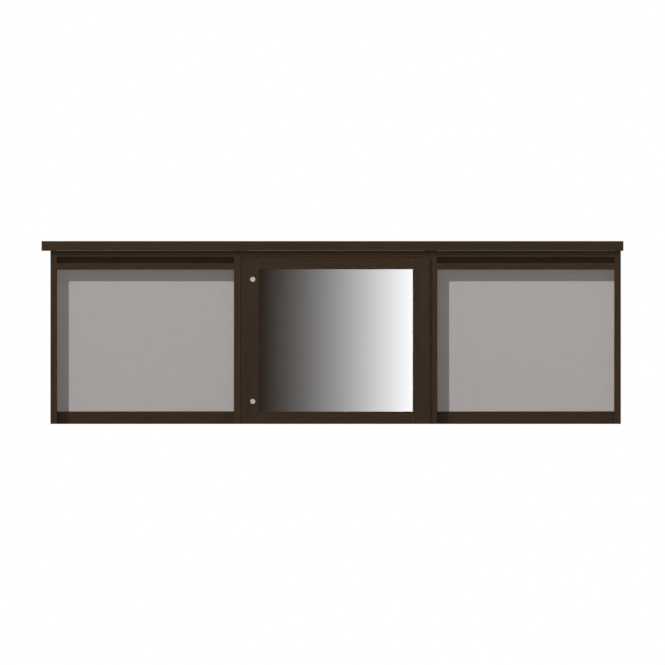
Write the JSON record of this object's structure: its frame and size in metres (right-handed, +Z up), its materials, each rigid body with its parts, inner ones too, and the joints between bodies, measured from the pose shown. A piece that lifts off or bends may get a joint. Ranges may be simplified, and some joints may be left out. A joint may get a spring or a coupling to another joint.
{
  "type": "outdoor notice board",
  "caption": "Wide wall-mounted notice board with open pinboard bays beside a middle bay that has a glazed, lockable side-hung door, all under a full-length rain cap.",
  "frame": {"origin": "centre of the wall fixings on the wall plane, at half the body's width and height", "axes": "+X to the right as seen from the front, +Y into the wall, +Z up"},
  "size_m": [2.491, 0.106, 0.783],
  "materials": {
    "brown_board": "matte, faint lengthwise grain",
    "back_board": "matte",
    "pin_cloth": "felted",
    "stainless": "satin",
    "insert_brass": "machined",
    "grey_seal": "matte",
    "black_seal": "matte",
    "block_plastic": "matte",
    "dowel_wood": "bare",
    "smoked_glazing": "bronze-smoked, polished",
    "bronze_hinge": "bronze-brown coating",
    "lock_metal": "satin nickel"
  },
  "bodies": {
    "carcass": {"rain_cap": "brown_board", "left_bay_outer_stile": "brown_board", "left_bay_inner_stile": "brown_board", "middle_bay_left_stile": "brown_board", "middle_bay_right_stile": "brown_board", "right_bay_inner_stile": "brown_board", "right_bay_outer_stile": "brown_board", "left_bay_header": "brown_board", "middle_bay_header": "brown_board", "right_bay_header": "brown_board", "left_bay_foot_rail": "brown_board", "middle_bay_sill": "brown_board", "right_bay_foot_rail": "brown_board", "left_back_panel": "back_board", "middle_back_panel": "back_board", "right_back_panel": "back_board", "left_pinboard": "pin_cloth", "middle_pinboard": "pin_cloth", "right_pinboard": "pin_cloth", "upper_wall_batten": "back_board", "lower_wall_batten": "back_board", "cap_screws": "stainless", "frame_screws": "stainless", "back_panel_screws": "stainless", "batten_screws": "stainless", "bay_joining_bolts": "stainless", "bay_joining_nuts": "stainless", "keep_screws": "stainless", "wall_fixing_inserts": "insert_brass", "cap_drip_strips": "grey_seal", "door_seal": "black_seal", "hinge_frame_leaf": "bronze_hinge", "hinge_pin": "bronze_hinge", "hinge_frame_screws": "bronze_hinge", "lock_keeps": "stainless"},
    "door": {"door_lock_stile": "brown_board", "door_hinge_stile": "brown_board", "door_top_rail": "brown_board", "door_bottom_rail": "brown_board", "glazing_bead_top": "brown_board", "glazing_bead_bottom": "brown_board", "glazing_bead_lock_side": "brown_board", "glazing_bead_hinge_side": "brown_board", "door_dowels": "dowel_wood", "door_glazing": "smoked_glazing", "glazing_gasket": "black_seal", "setting_blocks": "block_plastic", "bead_screws": "stainless", "hinge_door_leaf": "bronze_hinge", "hinge_door_screws": "bronze_hinge", "upper_lock_barrel": "lock_metal", "lower_lock_barrel": "lock_metal", "lock_nuts": "lock_metal"},
    "upper_lock": {"upper_lock_plug": "lock_metal", "upper_lock_cam": "lock_metal", "upper_cam_screw": "stainless"},
    "lower_lock": {"lower_lock_plug": "lock_metal", "lower_lock_cam": "lock_metal", "lower_cam_screw": "stainless"}
  },
  "joints": [
    {"name": "door_swing", "type": "hinge", "parent": "carcass", "child": "door", "pos_m": [0.4055, -0.08975, 0], "axis": [0, 0, 1], "range_deg": [0, 170]},
    {"name": "upper_lock_turn", "type": "hinge", "parent": "door", "child": "upper_lock", "pos_m": [-0.355, -0.087, 0.2485], "axis": [0, 1, 0], "range_deg": [0, 90]},
    {"name": "lower_lock_turn", "type": "hinge", "parent": "door", "child": "lower_lock", "pos_m": [-0.355, -0.087, -0.2745], "axis": [0, 1, 0], "range_deg": [0, 90]}
  ]
}
